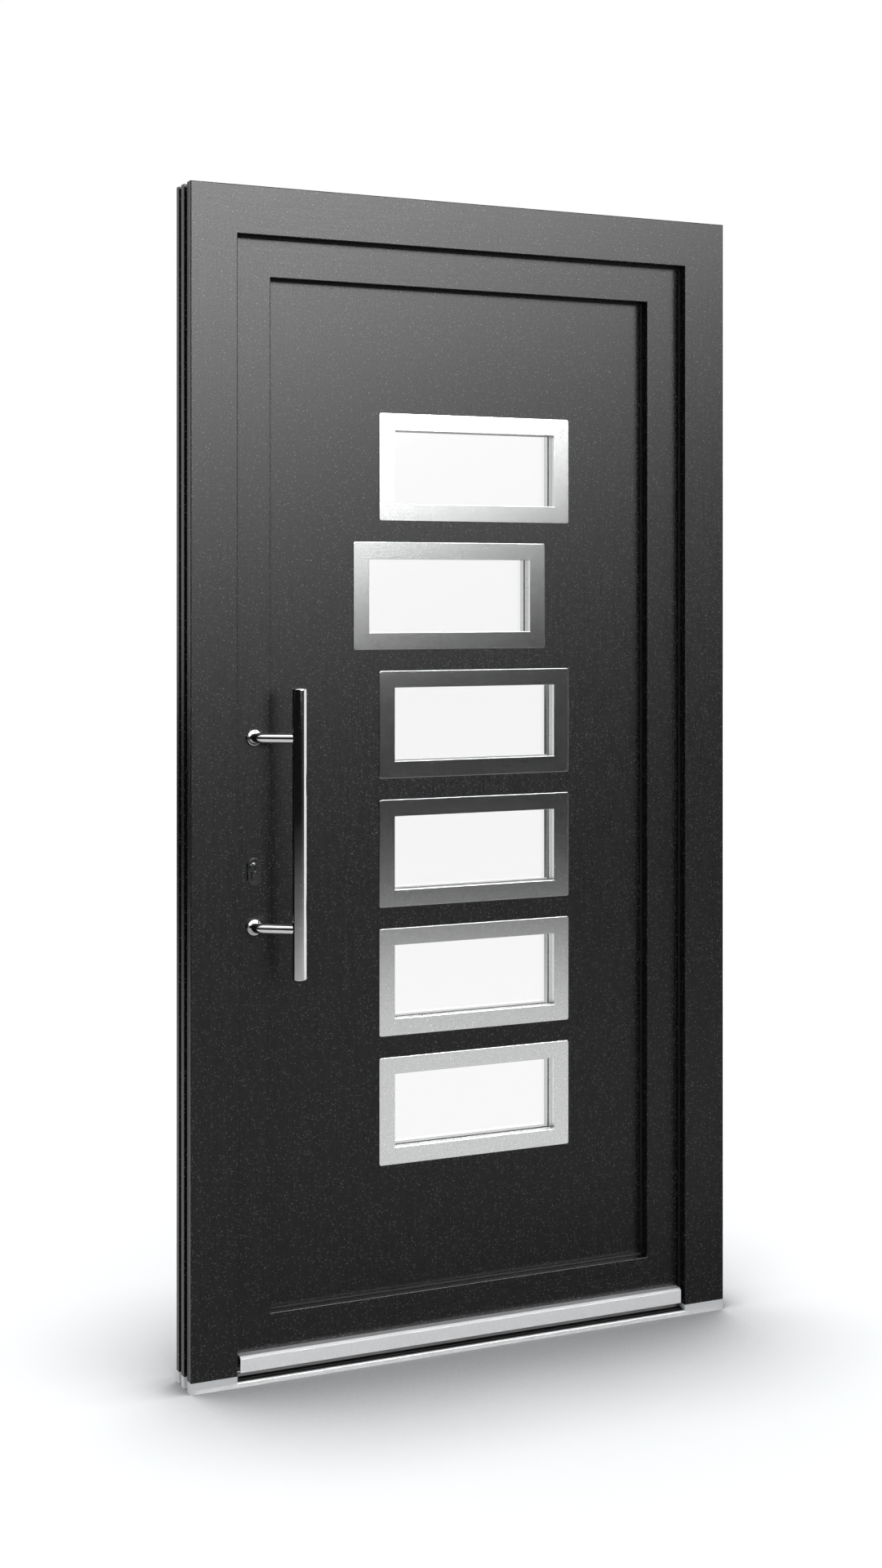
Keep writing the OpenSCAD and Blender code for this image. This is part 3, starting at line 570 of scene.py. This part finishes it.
# Weather bar
# An anodised aluminium bar across the foot of the leaf, extruded as one thin section
# that slopes from the leaf to a chamfer and a drip face.
bar_half, bar_wall, bar_edge = 0.4475, 0.0022, 0.0004
section = [(-0.037, 0.0235), (-0.037, 0.0475), (-0.033, 0.0515), (-0.0175, 0.0523)]
bpy.ops.mesh.primitive_plane_add(size=1)
bar = bpy.context.object
bar.scale = (2 * bar_half, section[1][1] - section[0][1], 1)
bar.rotation_euler = (math.radians(90), 0, 0)
bar.location = (0, section[0][0], (section[0][1] + section[1][1]) / 2)
bpy.ops.object.transform_apply(location=True, rotation=True, scale=True)
bpy.ops.object.mode_set(mode="EDIT")
for (y0, z0), (y1, z1) in zip(section[1:], section[2:]):
    pick("edges", lambda e, z=z0: all(abs(v.co.z - z) < 1e-5 for v in e.verts))
    bpy.ops.mesh.extrude_region_move(TRANSFORM_OT_translate={"value": (0, y1 - y0, z1 - z0)})
bpy.ops.object.mode_set(mode="OBJECT")
apply_modifier(bar, "SOLIDIFY", thickness=bar_wall, offset=-1)
apply_modifier(bar, "BEVEL", width=bar_edge, segments=2, limit_method="ANGLE",
               angle_limit=math.radians(30))
hand_over(bar, "drip_bar", "leaf", "anodised_aluminium", alloy, "weather_bar")


# Sill strip
# An extruded black strip laid on the threshold under the weather bar: a painted shade that
# keeps the gap there dark. It climbs the step, with a raised rib near the nose. Its section
# is listed as Y and Z, once round.
strip = [(-0.0375, 0.0094), (-0.0375, 0.0102), (-0.0315, 0.0109), (-0.0315, 0.0119),
         (-0.0295, 0.0121), (-0.0295, 0.0111), (-0.0205, 0.0122), (-0.0190, 0.0188),
         (-0.0175, 0.0188), (-0.0190, 0.0110)]
sill_half = 0.4535
bpy.ops.mesh.primitive_circle_add(vertices=len(strip), radius=0.01, fill_type="NGON",
                                  rotation=(0, math.radians(90), 0))
sill = bpy.context.object
bpy.ops.object.transform_apply(location=True, rotation=True, scale=True)
for vertex, (y, z) in zip(sill.data.vertices, strip):
    vertex.co = (-sill_half, y, z)
bpy.ops.object.mode_set(mode="EDIT")
bpy.ops.mesh.select_all(action="SELECT")
bpy.ops.mesh.extrude_region_move(TRANSFORM_OT_translate={"value": (2 * sill_half, 0, 0)})
bpy.ops.mesh.select_all(action="SELECT")
bpy.ops.mesh.normals_make_consistent(inside=False)
bpy.ops.object.mode_set(mode="OBJECT")

# Dull black, a painted shade that keeps the gap under the bar dark.
black_shade_strip, tree, shader = finish_material("painted_shade_black", "#121213", 0.42,
                                            specular=0.3)
roughen(tree, shader, grain(tree, "X", 1.5, 40), 0.36, 0.5)
hand_over(sill, "sill_shade_strip", "frame_set", "black_plastic", black_shade_strip)


# Pull handle
# A straight polished stainless tube on two bent supports, which are screwed through the
# leaf and covered by turned rosettes.

# Polished stainless mirrors the studio almost sharply. A slow haze along it keeps the
# highlights from being ruled lines.
polished, tree, shader = finish_material("polished_stainless", "#dadadb", 0.06, 1.0)
haze = grain(tree, None, 12, 0)
mottle(tree, shader, haze, "#d6d6d7", "#dedede")
roughen(tree, shader, haze, 0.04, 0.07)
pull_x, pull_y, pull_z = -0.3535, -0.0795, 0.965
lock_x, face_y = -0.416, -0.017
tube_r, tube_length, tube_edge = 0.013, 0.510, 0.0025
stem_r, stem_offset = 0.009, 0.167
rosette_r, rosette_depth, rosette_edge = 0.014, 0.006, 0.0015
hand_over(turned(tube_r, tube_length, (pull_x, pull_y, pull_z), edge=tube_edge, vertices=96),
          "pull_tube", "leaf", "polished_stainless", polished, "pull_bar")
support_heights = (pull_z - stem_offset, pull_z + stem_offset)
collars = []
for z in support_heights:
    ring = turned(rosette_r, rosette_depth, (lock_x, face_y - rosette_depth / 2, z), "Y",
                  rosette_edge)
    combine(ring, turned(stem_r + 0.0001, 0.02, (lock_x, face_y, z), "Y"))
    collars.append(ring)
hand_over(merge(collars, "rosettes"), "rosette_rings", "leaf", "polished_stainless", polished,
          "pull_rosettes")

# A support leaves the leaf squarely by its foot, bends, and runs on to the tube's middle.
bend, bend_r = math.radians(55), 0.022
side = stand = 0.0625
run = (side - bend_r * (1 - math.cos(bend))) / math.sin(bend)
foot = stand - bend_r * math.sin(bend) - run * math.cos(bend)
stems = []
for z in support_heights:
    bpy.ops.mesh.primitive_circle_add(vertices=48, radius=stem_r, fill_type="NGON",
                                      location=(lock_x, face_y, z),
                                      rotation=(math.radians(90), 0, 0))
    stem = bpy.context.object
    bpy.ops.object.transform_apply(location=True, rotation=True, scale=True)
    bpy.ops.object.mode_set(mode="EDIT")
    bpy.ops.mesh.select_all(action="SELECT")
    bpy.ops.mesh.extrude_region_move(TRANSFORM_OT_translate={"value": (0, -foot, 0)})
    bpy.ops.mesh.spin(steps=12, angle=-bend, axis=(0, 0, 1),
                      center=(lock_x + bend_r, face_y - foot, z))
    bpy.ops.mesh.extrude_region_move(TRANSFORM_OT_translate={
        "value": (run * math.sin(bend), -run * math.cos(bend), 0)})
    bpy.ops.mesh.select_all(action="SELECT")
    bpy.ops.mesh.remove_doubles(threshold=1e-6)
    bpy.ops.mesh.normals_make_consistent(inside=False)
    bpy.ops.object.mode_set(mode="OBJECT")
    combine(stem, turned(tube_r - 0.0001, 0.1, (pull_x, pull_y, z)))
    stems.append(stem)
hand_over(merge(stems, "supports"), "bent_supports", "leaf", "polished_stainless", polished,
          "pull_supports")


# Lock
# A profile cylinder in a satin black escutcheon. Its plug turns in the round head and
# has a keyway at both ends. Faceplate and bolts sit in the leaf's edge.
cylinder_z, cylinder_front, cylinder_back = 0.903, -0.024, 0.077
plug_r, web_half, web_drop, rim_bevel = 0.0085, 0.005, 0.02, 0.0011


def pill(low, high, edge):
    """A flat bar with round ends, standing in X and Z, its rims broken."""
    piece = block(low, high)
    round_corners(piece, "Y", (high[0] - low[0]) / 2 - 1e-5, 12)
    apply_modifier(piece, "BEVEL", width=edge, segments=3, limit_method="ANGLE",
                   angle_limit=math.radians(50))
    return piece


def cylinder_body(grow, y0, y1):
    """The keyhole-shaped section of a profile cylinder between two depths."""
    middle, length = (y0 + y1) / 2, y1 - y0
    piece = turned(plug_r + grow, length, (lock_x, middle, cylinder_z), "Y")
    web, foot_z = web_half + grow, cylinder_z - web_drop
    combine(piece, block((lock_x - web, y0, foot_z), (lock_x + web, y1, cylinder_z)), "UNION")
    combine(piece, turned(web, length, (lock_x, middle, foot_z), "Y"), "UNION")
    return piece


# Black-plated zinc mirrors the studio at about a fifth of its brightness. A very faint
# orange peel keeps it from being a perfect mirror.
dark, tree, shader = finish_material("satin_black_zinc", "#7a7b7c", 0.14, 1.0)
orange_peel = grain(tree, None, 1.6, 0)
mottle(tree, shader, orange_peel, "#757677", "#7f8081")
roughen(tree, shader, orange_peel, 0.08, 0.13)
emboss(tree, shader, orange_peel, 0.0006)
shield_half, shield_front, shield_bevel = 0.01175, -0.021, 0.002
shield_foot, shield_top = 0.87225, 0.91975
shield = pill((lock_x - shield_half, shield_front, shield_foot),
              (lock_x + shield_half, face_y, shield_top), shield_bevel)
combine(shield, cylinder_body(0.0001, -0.05, 0.0))
hand_over(shield, "outside_escutcheon", "leaf", "dark_lock", dark, "escutcheon")

# At each end a groove marks the plug, and the keyway is a tall slot with a short ward.
groove_outer, groove_inner, groove_width = 0.0068, 0.0064, 0.0024
key_half, key_depth, key_foot, key_top = 0.0009, 0.004, 0.0045, 0.0042
ward_half, ward_reach = 0.0006, 0.0019
barrel = cylinder_body(0, cylinder_front, cylinder_back)
apply_modifier(barrel, "BEVEL", width=rim_bevel, segments=3, limit_method="ANGLE",
               angle_limit=math.radians(60))
for y in (cylinder_front, cylinder_back):
    groove = turned(groove_outer, groove_width, (lock_x, y, cylinder_z), "Y")
    combine(groove, turned(groove_inner, 0.01, (lock_x, y, cylinder_z), "Y"))
    combine(barrel, groove)
    combine(barrel, block((lock_x - key_half, y - key_depth, cylinder_z - key_foot),
                          (lock_x + key_half, y + key_depth, cylinder_z + key_top)))
    combine(barrel, block((lock_x - key_half, y - key_depth, cylinder_z - ward_half),
                          (lock_x + ward_reach, y + key_depth, cylinder_z + ward_half)))
hand_over(barrel, "profile_cylinder", "leaf", "dark_lock", dark, "lock_cylinder")
wear(steel, "lock_faceplate", "lock_bolts")
low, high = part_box("lock_faceplate")
face_x, middle_y = low[0], (low[1] + high[1]) / 2
screw_inset, screw_count = 0.02, 8
screw_pitch = (high[2] - low[2] - 2 * screw_inset) / (screw_count - 1)
hand_over(merge([screw_head((face_x, middle_y, low[2] + screw_inset + k * screw_pitch), "X",
                            -1, small_head) for k in range(screw_count)], "screws"),
          "faceplate_screws", "leaf", "satin_steel", screw_zinc)


# Inside handle
# A satin stainless lever on a long rounded backplate, which two screws hold through the
# leaf. The lever is bent from one round bar and turns in a collar.

# Satin stainless is brushed along the lever, which spreads its highlights into soft bands.
satin_steel, tree, shader = finish_material("satin_stainless", "#bdbebf", 0.28, 1.0)
brushed = grain(tree, "X", 1.4, 24)
mottle(tree, shader, brushed, "#b4b5b6", "#c7c8c9")
roughen(tree, shader, brushed, 0.24, 0.32)
emboss(tree, shader, brushed, 0.012)
leaf_back, plate_face = 0.065, 0.074
plate_half, plate_foot, plate_top, plate_bevel = 0.016, 0.834, 1.064, 0.002
plate_screw_heights, plate_head = (0.85, 1.048), 0.004
backplate = pill((lock_x - plate_half, leaf_back, plate_foot),
                 (lock_x + plate_half, plate_face, plate_top), plate_bevel)
combine(backplate, cylinder_body(0.0001, 0.05, 0.1))
hand_over(backplate, "inside_backplate", "leaf", "satin_steel", satin_steel, "lever_backplate")
hand_over(merge([screw_head((lock_x, plate_face, z), "Y", 1, plate_head)
                 for z in plate_screw_heights], "screws"),
          "backplate_screws", "leaf", "satin_steel", screw_zinc)
lever_z, lever_r, lever_neck, lever_bend, lever_reach = 0.995, 0.0095, 0.027, 0.019, 0.125
bpy.ops.mesh.primitive_circle_add(vertices=48, radius=lever_r, fill_type="NGON",
                                  location=(lock_x, plate_face, lever_z),
                                  rotation=(math.radians(-90), 0, 0))
lever = bpy.context.object
bpy.ops.object.transform_apply(location=True, rotation=True, scale=True)
bpy.ops.object.mode_set(mode="EDIT")
bpy.ops.mesh.select_all(action="SELECT")
bpy.ops.mesh.extrude_region_move(TRANSFORM_OT_translate={"value": (0, lever_neck, 0)})
bpy.ops.mesh.spin(steps=16, angle=math.radians(90), axis=(0, 0, 1),
                  center=(lock_x + lever_bend, plate_face + lever_neck, lever_z))
bpy.ops.mesh.extrude_region_move(TRANSFORM_OT_translate={
    "value": (lever_reach - lever_bend, 0, 0)})
bpy.ops.mesh.select_all(action="SELECT")
bpy.ops.mesh.remove_doubles(threshold=1e-6)
bpy.ops.mesh.normals_make_consistent(inside=False)
bpy.ops.object.mode_set(mode="OBJECT")
apply_modifier(lever, "BEVEL", width=0.003, segments=4, limit_method="ANGLE",
               angle_limit=math.radians(50))
collar_r, collar_depth = 0.0135, 0.004
collar = turned(collar_r, collar_depth, (lock_x, plate_face + collar_depth / 2, lever_z), "Y",
                0.001)
combine(collar, turned(lever_r + 0.0001, 0.02, (lock_x, plate_face, lever_z), "Y"))
hand_over(merge([lever, collar], "lever"), "inside_lever", "leaf", "satin_steel", satin_steel,
          "lever_handle")


# Hinges
# Three powder-coated hinges of three knuckles on a steel pin, two knuckles on the frame
# and one on the leaf. One is built round the height zero and copied to each place.

# Powder coating is a dull dark grey with a fine pebble, lighter than the foil round it.
coating, tree, shader = finish_material("powder_coating", "#2a2b2d", 0.45)
emboss(tree, shader, grain(tree, None, 1.5, 0), 0.04)
hinge_x, hinge_y = 0.506, 0.059
hinge_heights = (("top", 1.85), ("middle", 1.05), ("bottom", 0.25))
half_height, leaf_knuckle_half, knuckle_gap = 0.0545, 0.018, 0.0005
barrel_r, pin_r, barrel_edge, plate_edge = 0.009, 0.005, 0.0008, 0.0005
frame_back, frame_face, leaf_face = 0.041, 0.045, 0.069
hinge_head, row, frame_column, near_column, far_column = 0.0036, 0.044, 0.018, -0.034, -0.064
frame_plate = block((hinge_x - 0.004, frame_back, -half_height),
                    (hinge_x + 0.026, frame_face, half_height))
round_corners(frame_plate, "Y", 0.003, 4)
notch = leaf_knuckle_half + knuckle_gap
combine(frame_plate, block((hinge_x - 0.02, 0.04, -notch), (hinge_x + 0.011, 0.05, notch)))
for side in (-1, 1):
    z0, z1 = sorted((side * notch, side * half_height))
    barrel = turned(barrel_r, z1 - z0, (hinge_x, hinge_y, (z0 + z1) / 2), "Z", barrel_edge)
    combine(barrel, block((hinge_x - 0.001, frame_back + 0.0002, z0 + barrel_edge),
                          (hinge_x + barrel_r, hinge_y, z1 - barrel_edge)), "UNION")
    combine(frame_plate, barrel, "UNION")
    cap = turned(0.0062, 0.003, (hinge_x, hinge_y, side * half_height), "Z", 0.001)
    combine(frame_plate, cap, "UNION")
apply_modifier(frame_plate, "BEVEL", width=plate_edge, segments=2, limit_method="ANGLE",
               angle_limit=math.radians(60))
leaf_plate = block((hinge_x - 0.074, leaf_back, -half_height),
                   (hinge_x - 0.018, leaf_face, half_height))
round_corners(leaf_plate, "Y", 0.004, 4)
combine(leaf_plate, block((hinge_x - 0.04, leaf_back + 0.0001, -leaf_knuckle_half),
                          (hinge_x, leaf_face - 0.0001, leaf_knuckle_half)), "UNION")
combine(leaf_plate, turned(barrel_r, 2 * leaf_knuckle_half, (hinge_x, hinge_y, 0), "Z",
                           barrel_edge), "UNION")
combine(leaf_plate, turned(pin_r + 0.0002, 0.1, (hinge_x, hinge_y, 0)))
apply_modifier(leaf_plate, "BEVEL", width=plate_edge, segments=2, limit_method="ANGLE",
               angle_limit=math.radians(60))
pin = turned(pin_r, 2 * half_height, (hinge_x, hinge_y, 0))
frame_screws = merge([screw_head((hinge_x + frame_column, frame_face, z), "Y", 1, hinge_head)
                      for z in (row, 0, -row)], "screws")
leaf_screws = merge([screw_head((hinge_x + x, leaf_face, z), "Y", 1, hinge_head)
                     for x, z in ((far_column, -row), (far_column, row), (near_column, -row),
                                  (near_column, row), (far_column, 0))], "screws")
for where, z in hinge_heights:
    raised = [copy_of(piece, "hinge", (0, 0, z)) for piece in (frame_plate, pin)]
    hand_over(merge(raised, "hinge"), f"hinge_on_frame_{where}", "frame_set", "hinge_coating",
              coating, f"hinge_frame_{where}")
    hand_over(copy_of(leaf_plate, "hinge", (0, 0, z)), f"hinge_on_leaf_{where}", "leaf",
              "hinge_coating", coating, f"hinge_leaf_{where}")
    hand_over(copy_of(frame_screws, "screws", (0, 0, z)), f"hinge_frame_screws_{where}",
              "frame_set", "satin_steel", screw_zinc)
    hand_over(copy_of(leaf_screws, "screws", (0, 0, z)), f"hinge_leaf_screws_{where}",
              "leaf", "satin_steel", screw_zinc)
for piece in (frame_plate, leaf_plate, pin, frame_screws, leaf_screws):
    bpy.data.objects.remove(piece)
